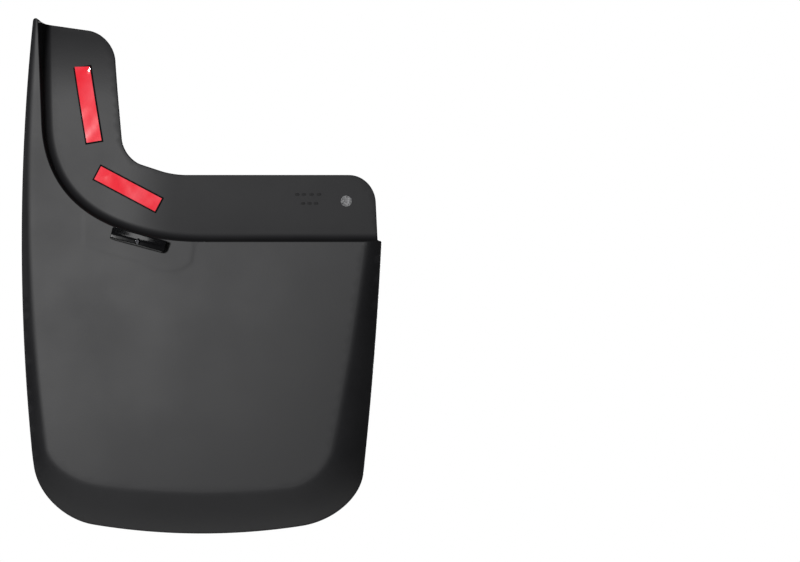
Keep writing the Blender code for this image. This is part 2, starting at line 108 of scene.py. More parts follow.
def spread(tree, source, low, high, start=0.0, end=1.0):
    settings = {"From Min": start, "From Max": end, "To Min": low, "To Max": high}
    return addNode(tree, "ShaderNodeMapRange", settings, {"Value": source}).outputs["Result"]


def add(tree, first, second):
    return addNode(tree, "ShaderNodeMath", {"operation": "ADD"}, {0: first, 1: second}).outputs[0]


def roughen(tree, shader, height, strength, distance):
    # bump from this height pattern, whose full relief is the distance in metres
    bump = addNode(tree, "ShaderNodeBump", {"Strength": strength, "Distance": distance}, {"Height": height})
    tree.links.new(bump.outputs["Normal"], shader.inputs["Normal"])


def tint(tree, shader, source, stops):
    tree.links.new(ramp(tree, source, stops), shader.inputs["Base Color"])


def settle(obj):
    # keeps the evaluated shape and drops the modifiers that made it
    graph = bpy.context.evaluated_depsgraph_get()
    shaped = bpy.data.meshes.new_from_object(obj.evaluated_get(graph))
    obj.modifiers.clear()
    obj.data = shaped


def addPiece(bm, name, material, body, nodes=(), smooth=35, place=None):
    bmesh.ops.recalc_face_normals(bm, faces=bm.faces)
    mesh = bpy.data.meshes.new(name)
    bm.to_mesh(mesh)
    bm.free()
    if place is not None:
        mesh.transform(place)
    mesh.shade_smooth()
    mesh.set_sharp_from_angle(angle=math.radians(smooth))
    mesh.materials.append(material)
    piece = bpy.data.objects.new(name, mesh)
    bpy.context.scene.collection.objects.link(piece)
    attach(piece, body)
    if nodes:
        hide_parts(*nodes)
    return piece


def carve(piece, makeTool, operation="DIFFERENCE"):
    # makeTool fills a bmesh with the solid to cut away or join on
    bm = bmesh.new()
    makeTool(bm)
    bmesh.ops.recalc_face_normals(bm, faces=bm.faces)
    mesh = bpy.data.meshes.new("tool")
    bm.to_mesh(mesh)
    bm.free()
    tool = bpy.data.objects.new("tool", mesh)
    bpy.context.scene.collection.objects.link(tool)
    change = piece.modifiers.new("carve", "BOOLEAN")
    change.operation, change.object, change.solver = operation, tool, "EXACT"
    settle(piece)
    bpy.data.objects.remove(tool)


def stitch(bm, rings):
    # faces between neighbouring closed rings, three-sided where a ring has shrunk to one point
    for ring, other in zip(rings, rings[1:]):
        for i in range(len(ring)):
            corners = list(dict.fromkeys([ring[i], ring[i - 1], other[i - 1], other[i]]))
            if len(corners) > 2:
                bm.faces.new(corners)


def roundRing(bm, radius, depth, sides, at=(0, 0)):
    turns = [2 * math.pi * i / sides for i in range(sides)]
    return [bm.verts.new((at[0] + radius * math.cos(t), depth, at[1] + radius * math.sin(t))) for t in turns]


def lathe(bm, profile, sides=48, at=(0, 0)):
    # (radius, depth) points turned about an axis along Y
    rings = []
    for radius, depth in profile:
        if radius:
            rings.append(roundRing(bm, radius, depth, sides, at))
        else:
            rings.append([bm.verts.new((at[0], depth, at[1]))] * sides)
    stitch(bm, rings)


# Materials, each named for what the real one is

def makeGrainedTpo():
    # injection-moulded black polyolefin: a soft, broad sheen, a fine mould grain and faint flow marks
    material, tree, shader, place = startMaterial("grainedTpo", {"IOR": 1.43})
    flow = addNode(tree, "ShaderNodeTexNoise", {"Scale": perMm(70), "Detail": 3}, {"Vector": place})
    grain = addNode(tree, "ShaderNodeTexVoronoi", {"Scale": perMm(1.7)}, {"Vector": place})
    speck = addNode(tree, "ShaderNodeTexNoise", {"Scale": perMm(0.9), "Detail": 2}, {"Vector": place})
    tint(tree, shader, flow.outputs["Fac"], [(0.3, "#18181a"), (0.7, "#1e1e20")])
    mating = addNode(tree, "ShaderNodeAttribute", {"attribute_name": "matingFace"}).outputs["Fac"]
    base = spread(tree, mating, 0.54, 0.68)
    uneven = spread(tree, flow.outputs["Fac"], -0.03, 0.03, 0.3, 0.7)
    tree.links.new(add(tree, base, uneven), shader.inputs["Roughness"])
    pits = spread(tree, grain.outputs["Distance"], 0, 1, 0, 0.7)
    roughen(tree, shader, add(tree, pits, speck.outputs["Fac"]), 0.22, 0.00006)
    return material


def makeFlashPaintedTpo():
    # the same plastic where it copies a polished steel insert, so it is smooth; its pale mottled grey colour
    # is a painted highlight, standing in for the small patches where the black plastic flashes in the light
    material, tree, shader, place = startMaterial("flashPaintedTpo", {"IOR": 1.5})
    roughnessAndPaintedFlash = addNode(tree, "ShaderNodeTexNoise", {"Scale": perMm(1.6), "Detail": 3}, {"Vector": place})
    # painted highlight: the pale grey patches in this colour stand in for flashes of light, and the same
    # noise also sets the roughness
    tint(tree, shader, roughnessAndPaintedFlash.outputs["Fac"], [(0.35, "#3c3c3e"), (0.65, "#8c8c8e")])
    tree.links.new(spread(tree, roughnessAndPaintedFlash.outputs["Fac"], 0.25, 0.5), shader.inputs["Roughness"])
    return material


def makeEtchedTpo():
    # the same plastic off an etched patch of the mould: dead matt, so it reads darker than its surroundings
    settings = {"Roughness": 0.85, "Specular IOR Level": 0.35}
    material, tree, shader, place = startMaterial("etchedTpo", settings)
    pits = addNode(tree, "ShaderNodeTexNoise", {"Scale": perMm(0.8), "Detail": 3}, {"Vector": place})
    tint(tree, shader, pits.outputs["Fac"], [(0.35, "#1c1c1d"), (0.65, "#272728")])
    roughen(tree, shader, pits.outputs["Fac"], 0.3, 0.00005)
    return material


def makeAcrylicFoam():
    # closed-cell acrylic foam tape, slit from a roll: dead matt, with pinhole cells on its cut sides
    settings = {"Roughness": 0.95, "Specular IOR Level": 0.1}
    material, tree, shader, place = startMaterial("acrylicFoam", settings)
    cells = addNode(tree, "ShaderNodeTexVoronoi", {"Scale": perMm(0.5)}, {"Vector": place})
    tint(tree, shader, cells.outputs["Distance"], [(0.0, "#070707"), (0.6, "#131314")])
    roughen(tree, shader, cells.outputs["Distance"], 0.5, 0.0001)
    return material


def makeReleaseFilm():
    # siliconised polyester film, dyed red: smooth and glossy, paler where it has let go of the tape
    material, tree, shader, place = startMaterial("siliconisedPolyester", {"IOR": 1.42})
    ripple = addNode(tree, "ShaderNodeTexNoise", {"Scale": perMm(16), "Detail": 2}, {"Vector": place})
    patches = {"Scale": perMm(26), "Detail": 2, "Distortion": 0.4}
    lift = addNode(tree, "ShaderNodeTexNoise", patches, {"Vector": place})
    tint(tree, shader, lift.outputs["Fac"], [(0.35, "#f23340"), (0.55, "#f64854"), (0.75, "#f9626c")])
    tree.links.new(spread(tree, lift.outputs["Fac"], 0.06, 0.12), shader.inputs["Roughness"])
    roughen(tree, shader, ripple.outputs["Fac"], 0.3, 0.0004)
    return material


def makeCoatedSteel():
    # sheet steel under black dip paint: a deep gloss with a trace of orange peel
    settings = {"Base Color": toLinear("#08080a"), "IOR": 1.5, "Coat Weight": 0.5, "Coat Roughness": 0.06}
    material, tree, shader, place = startMaterial("dippedBlackSteel", settings)
    peel = addNode(tree, "ShaderNodeTexNoise", {"Scale": perMm(2.2), "Detail": 1}, {"Vector": place})
    tree.links.new(spread(tree, peel.outputs["Fac"], 0.07, 0.1), shader.inputs["Roughness"])
    roughen(tree, shader, peel.outputs["Fac"], 0.06, 0.00008)
    return material


def makeMetal(name, pale, dark, roughness, size):
    # bare or plated metal, duller where it is worn
    material, tree, shader, place = startMaterial(name, {"Metallic": 1})
    wear = addNode(tree, "ShaderNodeTexNoise", {"Scale": perMm(size), "Detail": 4}, {"Vector": place})
    tint(tree, shader, wear.outputs["Fac"], [(0.35, dark), (0.65, pale)])
    rough = spread(tree, wear.outputs["Fac"], roughness + 0.08, roughness - 0.05)
    tree.links.new(rough, shader.inputs["Roughness"])
    roughen(tree, shader, wear.outputs["Fac"], 0.15, 0.00003)
    return material


grainedTpo = makeGrainedTpo()
flashPaintedTpo = makeFlashPaintedTpo()
etchedTpo = makeEtchedTpo()
acrylicFoam = makeAcrylicFoam()
siliconisedPolyester = makeReleaseFilm()
dippedBlackSteel = makeCoatedSteel()
# bright zinc: cold and slightly cloudy
zincPlatedSteel = makeMetal("zincPlatedSteel", "#c9ccd0", "#a4a7ab", 0.1, 1.2)
# oiled black oxide: dark, with a low sheen
blackOxideSteel = makeMetal("blackOxideSteel", "#2e2e30", "#202022", 0.3, 0.9)
# headed rivet wire: satin and pale
drawnAluminium = makeMetal("drawnAluminium", "#d4d5d6", "#b4b5b7", 0.36, 0.8)
print("materials made")


# The flap's shell

flap = {
    "width": 0.303, "right": 0.1104, "drop": 0.2763, "armTop": 0.1596, "wall": 0.003,
    "step": 0.013, "ledge": 0.0281, "wallDraft": 0.0012, "fillet": 0.007,
    "crestRound": 0.0016,  # softening of the crest's edge
    "crown": 0.0025, "rimSlopeIn": 22, "rimSlopeOut": 52, "rimBlend": 0.0024,
    "flangeTop": 0.0283, "armWidth": 0.077, "stripWidth": 0.0047, "tipIn": 0.0147,
    "bendUp": 0.080, "bendRadius": 0.22,
    "edgeRound": 0.0009,  # radius on every free edge
    "sunkDraft": 0.00015,  # how far the side of a sunk shape leans in
    "patchProud": 0.00018, "patchBlend": 0.004,  # the thickened patch behind the clip
    "rivetHole": 0.0018,
    "matingStart": 0.004, "matingBlend": 0.008,  # where the flange's matter finish begins, above the crest
    "matingLeft": -0.082, "matingFade": 0.046,  # and where it fades out towards the arm
}
flap["left"] = flap["right"] - flap["width"]

shellMesh = {
    "coarse": 0.0050, "fine": 0.0016,  # spacing on open faces and round the clip
    "fineLow": (-0.150, -0.068), "fineHigh": (-0.036, -0.002),  # the finely meshed patch, two corners
    "rowShare": 0.866,  # a row's height in a triangular grid
    "clear": 0.45,  # a grid point stays this share of the spacing from any drawn line
    "longest": 0.003,  # the longest stretch along a drawn line
    # distances from the crest at which the step is drawn, closer where it curves more
    "stepLines": (-0.003, -0.0024, -0.0018, -0.0012, -0.0006, 0, 0.0006, 0.0012, 0.0015, 0.002, 0.0027,
                  0.0036, 0.0047, 0.006, 0.0073, 0.0082),
}

tapes = {
    # thumb is the side of the lifted corner, lift its height and skew how far out of square the end is cut
    "upper": {"in": 0.0552, "up": 0.0877, "long": 0.0635, "wide": 0.0127, "turn": 80.7,
              "thumb": 1, "lift": 0.0014, "skew": 0.0018},
    "lower": {"in": 0.0890, "up": 0.0165, "long": 0.0580, "wide": 0.0123, "turn": 27.9,
              "thumb": 1, "lift": 0.0007, "skew": 0},
    "pocketDepth": 0.0006, "pocketMargin": 0.0014, "thick": 0.0011, "film": 0.00012, "gap": 0.00015,
    "foamShows": 0.0011,  # how far the foam runs out past its film
    "foamEdge": 0.0002, "foamWave": 0.00006,  # its softened edge and how much its slit sides wander
    "filmWave": 0.00005, "thumbReach": 0.010,
}
dial = {
    "in": 0.0298, "up": 0.0062, "radius": 0.0050, "depth": 0.0004,
    "margin": 0.00035, "lift": 0.00005,  # between the recess and the insert's print, beside and below it
    # from and to, as shares of the radius, and height
    "ring": (0.86, 0.95, 0.00030), "ticks": (0.62, 0.82, 0.00026), "hub": (0.0, 0.55, 0.00014),
    "arrow": 0.00034, "shaft": 0.00022,  # the arrow's height and half its shaft's width
    "skirt": 0.00004,
}


def arcThrough(start, middle, end, count):
    (ax, az), (bx, bz), (cx, cz) = start, middle, end
    d = 2 * (ax * (bz - cz) + bx * (cz - az) + cx * (az - bz))
    a2, b2, c2 = ax * ax + az * az, bx * bx + bz * bz, cx * cx + cz * cz
    ux = (a2 * (bz - cz) + b2 * (cz - az) + c2 * (az - bz)) / d
    uz = (a2 * (cx - bx) + b2 * (ax - cx) + c2 * (bx - ax)) / d
    radius = math.hypot(ax - ux, az - uz)
    first = math.atan2(az - uz, ax - ux)
    swing = (math.atan2(cz - uz, cx - ux) - first + math.pi) % (2 * math.pi) - math.pi
    turns = [first + swing * (i + 1) / count for i in range(count)]
    return [(ux + radius * math.cos(t), uz + radius * math.sin(t)) for t in turns]


def softCorner(start, corner, end, count, pull=0.56):
    a, c, b = Vector(start), Vector(corner), Vector(end)
    return [tuple(p) for p in interpolate_bezier(a, a.lerp(c, pull), b.lerp(c, pull), b, count + 1)[1:]]


def fromLeft(across, up):
    return flap["left"] + across, up - flap["drop"]


def fromRight(across, up):
    return flap["right"] - across, up - flap["drop"]


def belowTip(start, across, down):
    return start + across, flap["armTop"] - down


def edgePath():
    # from the top right corner, down and round to the tip of the outer strip
    tip = flap["left"] + flap["tipIn"]
    path = [(flap["right"], -flap["ledge"])]
    path += arcThrough(path[0], (flap["right"] - 0.0072, -flap["drop"] / 2), fromRight(0.0153, 0.0529), 60)
    path += softCorner(path[-1], fromRight(0.0185, 0.0139), fromRight(0.0684, 0.0066), 36)
    low = (flap["left"] + flap["width"] / 2, -flap["drop"])
    path += arcThrough(path[-1], low, fromLeft(0.0589, 0.0075), 50)
    path += softCorner(path[-1], fromLeft(0.0135, 0.0143), fromLeft(0.0092, 0.0579), 36)
    middle = (flap["left"], (flap["armTop"] - flap["drop"]) / 2 + 0.0240)
    path += arcThrough(path[-1], middle, belowTip(tip, -flap["stripWidth"], 0.0022), 110)
    return path


def flangePath():
    # from the tip, down the arm's free side and along the flange to the top right corner
    tip, arm, top = flap["left"] + flap["tipIn"], flap["left"] + flap["armWidth"], flap["flangeTop"]
    path = [belowTip(tip, -flap["stripWidth"], 0.0022)]
    path += arcThrough(path[0], belowTip(tip, -flap["stripWidth"] / 2, 0), belowTip(tip, 0, 0.0018), 8)
    path += [belowTip(tip, 0.0032, 0.0029), belowTip(arm, -0.0230, 0.0082)]
    path += softCorner(path[-1], belowTip(arm, -0.0022, 0.0112), belowTip(arm, 0.0005, 0.0336), 18)
    path += [(arm + 0.0065, top + 0.0305)]
    path += softCorner(path[-1], (arm + 0.0078, top + 0.0137), (arm + 0.0232, top + 0.0087), 16)
    path += [(arm + 0.0406, top + 0.0030)]
    path += softCorner(path[-1], (arm + 0.0501, top), (arm + 0.0606, top), 6)
    side = flap["right"] - 0.0033
    path += [(side - 0.0245, top)]
    path += softCorner(path[-1], (side - 0.0020, top), (side - 0.0015, top - 0.0240), 18)
    path += [(side, 0.0012 - flap["ledge"]), (flap["right"], -flap["ledge"])]
    return path


def rimPath():
    # where the panel's face starts to turn back
    left, right, ledge = flap["left"], flap["right"], flap["ledge"]
    path = [(right - 0.0118, -ledge)]
    path += arcThrough(path[0], (right - 0.0235, -ledge - 0.0820), fromRight(0.0404, 0.0733), 50)
    path += softCorner(path[-1], fromRight(0.0478, 0.0420), fromRight(0.0790, 0.0395), 24)
    low = (left + flap["width"] / 2, 0.036 - flap["drop"])
    path += arcThrough(path[-1], low, fromLeft(0.0666, 0.0419), 46)
    path += softCorner(path[-1], fromLeft(0.0275, 0.0475), fromLeft(0.0217, 0.0733), 20)
    path += arcThrough(path[-1], (left + 0.0075, -0.0200), (left + 0.0135, flap["armTop"]), 100)
    return path


def crestPath():
    # the step's crest, from above the tip, down, round and along the ledge
    path = [belowTip(flap["left"], 0.0143, -0.0040), belowTip(flap["left"], 0.0178, 0.0880)]
    end = (flap["left"] + 0.1556, -flap["ledge"])
    path += softCorner(path[-1], (flap["left"] + 0.0213, -flap["ledge"]), end, 60, 0.65)
    return path + [(flap["right"] + 0.006, -flap["ledge"])]


def cutLong(path):
    out = [path[0]]
    for a, b in zip(path, path[1:]):
        pieces = max(1, math.ceil(math.dist(a, b) / shellMesh["longest"]))
        out += [tuple(Vector(a).lerp(Vector(b), (i + 1) / pieces)) for i in range(pieces)]
    return out


def sideways(path, distance):
    # moved to the left of its direction of travel
    points = np.array(path)
    along = np.gradient(points, axis=0)
    along /= np.linalg.norm(along, axis=1)[:, None]
    return [tuple(p) for p in points + distance * np.c_[-along[:, 1], along[:, 0]]]


def away(points, path):
    # distance from the path, positive to the left of its direction of travel
    path = np.array(path)
    a, ab = path[:-1], path[1:] - path[:-1]
    length = (ab * ab).sum(1)
    out, batch = np.empty(len(points)), 2000
    for first in range(0, len(points), batch):
        to = points[first:first + batch, None] - a[None]
        share = np.clip((to * ab).sum(2) / length, 0, 1)
        gap = to - share[..., None] * ab
        distance = np.sqrt((gap**2).sum(2))
        best = distance.argmin(1)
        rows = np.arange(len(best))
        side = ab[best, 0] * to[rows, best, 1] - ab[best, 1] * to[rows, best, 0]
        out[first:first + batch] = np.where(side >= 0, 1, -1) * distance[rows, best]
    return out


def carriedUp(path, more=0.06):
    # both ends run on upwards, past the part
    return [(path[0][0], path[0][1] + more)] + path + [(path[-1][0], path[-1][1] + more)]


edge, rim, crest = edgePath(), rimPath(), cutLong(crestPath())
edgeUp, rimUp = carriedUp(edge), carriedUp(rim)


def smoothRise(distance, width):
    share = np.clip(distance / width + 0.5, 0, 1)
    return share * share * (3 - 2 * share)


def panelFace(points):
    # how deep the panel's face lies, and how much thicker a sloping wall is from front to back
    x, z = points.T
    across = np.clip(2 * (x - flap["left"]) / flap["width"] - 1, -1, 1)
    down = np.clip(2 * (z + flap["ledge"]) / (flap["ledge"] - flap["drop"]) - 1, -1, 1)
    out = np.abs(away(points, edgeUp))
    inner = away(points, rimUp)
    blend = flap["rimBlend"]
    turned = np.where(inner > blend, inner, np.maximum(inner + blend, 0) ** 2 / (4 * blend))
    width = np.maximum(out + np.abs(inner), 1e-6)
    share = turned / width
    low, high = (math.tan(math.radians(flap[k])) for k in ("rimSlopeIn", "rimSlopeOut"))
    back = width * (low * share + (high - low) * share**2 / 2)
    slope = np.where(inner > 0, low + (high - low) * share, 0)
    face = -flap["step"] - flap["crown"] * (1 - across**2) * (1 - down**2) + back
    return face, np.sqrt(1 + slope**2)


def armBend(heights):
    # how far back the arm has bent at this height
    return np.maximum(heights - flap["bendUp"], 0) ** 2 / (2 * flap["bendRadius"])


def stepDepth(fromCrest, wall):
    # the step's wall and its fillet into the flange, and nothing on the panel's side of them
    centre, radius = flap["wallDraft"] + flap["fillet"], flap["fillet"] + wall
    foot = centre - radius
    turn = np.arccos(np.clip((centre - fromCrest) / radius, 0, 1))
    arc = radius * np.sin(turn) - flap["fillet"]
    straight = np.interp(fromCrest, [-wall, foot], [wall - flap["step"], -flap["fillet"]])
    depth = np.where(fromCrest < foot, straight, arc)
    farForward = -1  # so that the panel's face is always the deeper one there
    return np.where(fromCrest < -wall - 1e-7, farForward, depth)


def deeper(a, b, softness):
    # the greater of two depths, with the edge between them rounded
    near = np.maximum(softness - np.abs(a - b), 0)
    return np.maximum(a, b) + near**2 / (4 * softness)


def shellDepth(points, wall):
    fromCrest = away(points, crest)
    face, stretch = panelFace(points)
    step = stepDepth(fromCrest, wall)
    step = step + armBend(points[:, 1]) * (step - wall + flap["step"]) / flap["step"]
    return deeper(face + wall * stretch, step, flap["crestRound"])


def tapeAxes(tape):
    turn = math.radians(tape["turn"])
    along = np.array([math.cos(turn), -math.sin(turn)])
    return np.array([flap["left"] + tape["in"], tape["up"]]), along, np.array([-along[1], along[0]])


def tapeRectangle(tape, margin):
    centre, along, across = tapeAxes(tape)
    long, wide = tape["long"] / 2 + margin, tape["wide"] / 2 + margin
    corners = [(-long, -wide), (long, -wide), (long, wide), (-long, wide), (-long, -wide)]
    return cutLong([tuple(centre + a * along + b * across) for a, b in corners])


def circle(centre, radius, sides):
    turns = [2 * math.pi * i / sides for i in range(sides + 1)]
    return [(centre[0] + radius * math.cos(t), centre[1] + radius * math.sin(t)) for t in turns]


clipCentre = [(a + b) / 2 for a, b in zip(*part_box("lip_clip"))]
dialCentre = (flap["right"] - dial["in"], dial["up"])
rivetSpots = [[(a + b) / 2 for a, b in zip(*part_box("clip_rivet_" + side))] for side in ("left", "right")]
# the faint border of the thickened patch that backs the clip, from above its left end to the ledge
patchBorder = [(-0.1400, -0.0060), (-0.1400, -0.0290)]
patchBorder += softCorner(patchBorder[-1], (-0.1330, -0.0370), (-0.0924, -0.0450), 10)
patchBorder += softCorner(patchBorder[-1], (-0.0640, -0.0640), (-0.0487, -0.0450), 14)
patchBorder += [(-0.0460, -0.0250)]


def insidePolygon(points, polygon):
    x, z = points.T
    inside = np.zeros(len(points), bool)
    for (ax, az), (bx, bz) in zip(polygon, polygon[1:] + polygon[:1]):
        crosses = (az > z) != (bz > z)
        inside ^= crosses & (x < (bx - ax) * (z - az) / ((bz - az) or 1e-12) + ax)
    return inside


def shiftLoop(points, distance):
    # a closed loop moved outwards, whichever way it runs
    area = sum(a[0] * b[1] - b[0] * a[1] for a, b in zip(points, points[1:] + points[:1])) / 2
    p = np.array(points)
    along = np.roll(p, -1, 0) - np.roll(p, 1, 0)
    along /= np.linalg.norm(along, axis=1)[:, None]
    return p + np.c_[along[:, 1], -along[:, 0]] * (distance if area > 0 else -distance)


def shellPlan():
    # every triangle of the shell as seen from the front, the same for both its faces
    whole = edge[:-1] + cutLong(flangePath())[:-1]
    inset = [tuple(p) for p in shiftLoop(whole, -flap["edgeRound"])]
    lines = [sideways(crest, d) for d in shellMesh["stepLines"]]
    lines += [sideways(rim, d) for d in (-flap["rimBlend"], 0, flap["rimBlend"])]
    sides = (0, flap["sunkDraft"])
    for name in ("upper", "lower"):
        lines += [tapeRectangle(tapes[name], tapes["pocketMargin"] - inward) for inward in sides]
    lines += [circle(dialCentre, dial["radius"] - inward, 36) for inward in sides]
    lines += [circle((spot[0], spot[2]), flap["rivetHole"], 20) for spot in rivetSpots]
    near = KDTree(sum(map(len, lines)) + len(inset))
    for n, p in enumerate([p for line in lines for p in line] + inset):
        near.insert((p[0], p[1], 0), n)
    near.balance()
    low, high = shellMesh["fineLow"], shellMesh["fineHigh"]
    grid = []
    for spacing, inPatch in ((shellMesh["coarse"], False), (shellMesh["fine"], True)):
        rows = np.arange(-flap["drop"], flap["armTop"], spacing * shellMesh["rowShare"])
        for n, z in enumerate(rows):
            for x in np.arange(flap["left"] + spacing * (n % 2) / 2, flap["right"], spacing):
                if (low[0] < x < high[0] and low[1] < z < high[1]) == inPatch:
                    if near.find((x, z, 0))[2] > spacing * shellMesh["clear"]:
                        grid.append((x, z))
    grid = np.array(grid)
    grid = [tuple(p) for p in grid[insidePolygon(grid, inset)]]
    points, edges = list(inset), []
    for line in lines:
        first = len(points)
        points += line
        edges += [(i, i + 1) for i in range(first, len(points) - 1)]
    vectors = [Vector(p) for p in points + grid]
    verts, _, faces, *_ = delaunay_2d_cdt(vectors, edges, [list(range(len(inset)))], 1, 1e-6)
    plan = np.array([tuple(v) for v in verts])
    middles = np.array([plan[face].mean(0) for face in faces])
    kept = insidePolygon(middles, inset)
    for spot in rivetSpots:
        kept &= np.hypot(middles[:, 0] - spot[0], middles[:, 1] - spot[2]) > flap["rivetHole"] - 0.0001
    return plan, [face for face, keep in zip(faces, kept) if keep]


def frontDetails(plan):
    # what is sunk into or raised from the front face
    extra = np.zeros(len(plan))
    lean = flap["sunkDraft"] - 0.00001  # just short of it, so that the points drawn there are sunk
    for name in ("upper", "lower"):
        centre, along, across = tapeAxes(tapes[name])
        inward = tapes["pocketMargin"] - lean
        a, b = np.abs((plan - centre) @ along), np.abs((plan - centre) @ across)
        sunk = (a < tapes[name]["long"] / 2 + inward) & (b < tapes[name]["wide"] / 2 + inward)
        extra[sunk] = tapes["pocketDepth"]
    extra[np.hypot(*(plan - dialCentre).T) < dial["radius"] - lean] = dial["depth"]
    onPanel = away(plan, crest) < -0.0005
    rise = smoothRise(away(plan[onPanel], patchBorder), flap["patchBlend"])
    extra[onPanel] -= flap["patchProud"] * rise
    return extra


def boundaryLoops(faces):
    uses = {}
    for face in faces:
        for pair in zip(face, face[1:] + face[:1]):
            uses.setdefault(frozenset(pair), []).append(pair)
    after = {a: b for pairs in uses.values() if len(pairs) == 1 for a, b in pairs}
    loops = []
    while after:
        start = next(iter(after))
        loop = [start]
        while after[loop[-1]] != start:
            loop.append(after.pop(loop[-1]))
        after.pop(loop[-1])
        loops.append(loop)
    return sorted(loops, key=len, reverse=True)


def buildShell():
    plan, faces = shellPlan()
    front = shellDepth(plan, 0) + frontDetails(plan)
    back = shellDepth(plan, flap["wall"])
    bm = bmesh.new()
    used = sorted({i for face in faces for i in face})
    outside = {i: bm.verts.new((plan[i][0], front[i], plan[i][1])) for i in used}
    inside = {i: bm.verts.new((plan[i][0], back[i], plan[i][1])) for i in used}
    for face in faces:
        bm.faces.new([outside[i] for i in face])
        bm.faces.new([inside[i] for i in reversed(face)])
    turns = [math.pi / 6, math.pi / 3, math.pi / 2]
    for number, loop in enumerate(boundaryLoops(faces)):
        rings = [[outside[i] for i in loop]]
        # the outer edge, which comes first, is rounded, and the rivet holes are left sharp
        for surface, sign in ((front, 1), (back, -1)) if number == 0 else ():
            for t in turns[::sign]:
                moved = shiftLoop([tuple(plan[i]) for i in loop], flap["edgeRound"] * math.sin(t))
                inward = sign * flap["edgeRound"] * (1 - math.cos(t))
                rings.append([bm.verts.new((p[0], surface[i] + inward, p[1])) for p, i in zip(moved, loop)])
        rings.append([inside[i] for i in loop])
        stitch(bm, rings)
    piece = addPiece(bm, "moulded_shell", grainedTpo, "flap", ["flap_shell"], 32)
    spots = np.array([v.co for v in piece.data.vertices])[:, [0, 2]]
    onFlange = smoothRise(away(spots, crest) - flap["matingStart"], flap["matingBlend"])
    onFlange *= smoothRise(spots[:, 0] - flap["matingLeft"], flap["matingFade"])
    mask = piece.data.attributes.new("matingFace", "FLOAT", "POINT")
    mask.data.foreach_set("value", onFlange.astype(np.float32))
    return piece


shell = buildShell()
print("shell made:", len(shell.data.polygons), "faces")


# The foam strips and their red liners

def buildStrip(name):
    tape = tapes[name]
    centre, along, across = tapeAxes(tape)
    gap, soft = tapes["gap"], tapes["foamEdge"]
    foamBack = tapes["pocketDepth"] - 2 * gap
    foamFront = foamBack - tapes["thick"]
    long, wide = tape["long"] / 2 + tapes["foamShows"], tape["wide"] / 2 + tapes["foamShows"]

    def spot(a, b, depth):
        x, z = centre + a * along + b * across
        return x, depth + float(armBend(np.array([z]))[0]), z

    bm = bmesh.new()
    section = [(-wide, foamBack), (-wide, foamFront + soft), (-wide + soft, foamFront),
               (wide - soft, foamFront), (wide, foamFront + soft), (wide, foamBack)]
    rings, stations = [], 40
    for i in range(stations + 1):
        a = long * (2 * i / stations - 1)
        wander = [tapes["foamWave"] * math.sin(900 * a + 40 * b) for b, _ in section]
        rings.append([bm.verts.new(spot(a, b + w, d)) for (b, d), w in zip(section, wander)])
    stitch(bm, rings)
    bm.faces.new(rings[0])
    bm.faces.new(list(reversed(rings[-1])))
    addPiece(bm, name + "_tape_core", acrylicFoam, "flap", [name + "_tape_foam"])

    long, wide = tape["long"] / 2, tape["wide"] / 2
    # the film lies on the foam, waves a little, and is lifted at one corner for the thumb
    bm = bmesh.new()
    columns, rows = 16, 72
    sheets = []
    for thick in (0, tapes["film"]):
        sheet = []
        for i in range(rows + 1):
            a = long * (2 * i / rows - 1)
            row = []
            for j in range(columns + 1):
                b = wide * (2 * j / columns - 1)
                wave = tapes["filmWave"] * (1 + math.sin(a * 310 + b * 90) * math.cos(b * 260))
                reach = math.hypot(a + long, (b - tape["thumb"] * wide) * 1.1)
                lifted = tape["lift"] * max(0.0, 1 - reach / tapes["thumbReach"]) ** 1.6
                end = a - tape["skew"] * max(0.0, -2 * i / rows + 1) ** 8 * (1 - b / wide) / 2
                row.append(bm.verts.new(spot(end, b, foamFront - gap - wave - lifted - thick)))
            sheet.append(row)
        sheets.append(sheet)
    for side, sheet in enumerate(sheets):
        for i in range(rows):
            for j in range(columns):
                corners = [sheet[i][j], sheet[i + 1][j], sheet[i + 1][j + 1], sheet[i][j + 1]]
                bm.faces.new(corners if side else corners[::-1])
    border = [(i, 0) for i in range(rows)] + [(rows, j) for j in range(columns)]
    border += [(i, columns) for i in range(rows, 0, -1)] + [(0, j) for j in range(columns, 0, -1)]
    for (i, j), (k, m) in zip(border, border[1:] + border[:1]):
        bm.faces.new([sheets[0][i][j], sheets[0][k][m], sheets[1][k][m], sheets[1][i][j]])
    liner = name + "_tape_liner"
    addPiece(bm, name + "_release_film", siliconisedPolyester, "flap", [liner])


for name in ("upper", "lower"):
    buildStrip(name)
print("tape strips made")


# The date dial: a ring, twelve ticks and an arrow, as any mould carries

def buildDial():
    radius, floor = dial["radius"] - dial["margin"], dial["depth"] - dial["lift"]
    count, sides = 30, 120
    bm = bmesh.new()

    def relief(r, t):
        share, across, up = r / radius, abs(r * math.cos(t)), r * math.sin(t) / radius
        shaft = across < dial["shaft"] and -0.45 < up < 0.2
        head = 0.15 < up < 0.5 - across / radius * 1.4
        if shaft or head:
            return dial["arrow"]
        onTick = abs((t * 12 / (2 * math.pi)) % 1 - 0.5) > 0.40
        for name, drawn in (("ring", True), ("ticks", onTick), ("hub", True)):
            low, high, height = dial[name]
            if drawn and low < share < high:
                return height
        return 0.0

    rings = [[bm.verts.new((0, floor - relief(0, 0), 0))] * sides]
    for i in range(1, count + 1):
        r = radius * i / count
        turns = [2 * math.pi * j / sides for j in range(sides)]
        rings.append([bm.verts.new((r * math.cos(t), floor - relief(r, t), r * math.sin(t))) for t in turns])
    rings.append([bm.verts.new((v.co.x, floor + dial["skirt"], v.co.z)) for v in rings[-1]])
    stitch(bm, rings)
    bm.faces.new(rings[-1])
    place = Matrix.Translation((dialCentre[0], 0, dialCentre[1]))
    addPiece(bm, "date_dial", flashPaintedTpo, "flap", (), 30, place)


marks = {
    "rows": {0.0118: (0.0392, 0.0447, 0.0512, 0.0575), 0.0042: (0.0440, 0.0495, 0.0550)},  # height: centres
    "long": 0.0040, "tall": 0.0024, "proud": 0.0002,
    "draft": 0.00035, "sunk": 0.0001,  # how far the sides lean in, and how far the bars go into the flange
}


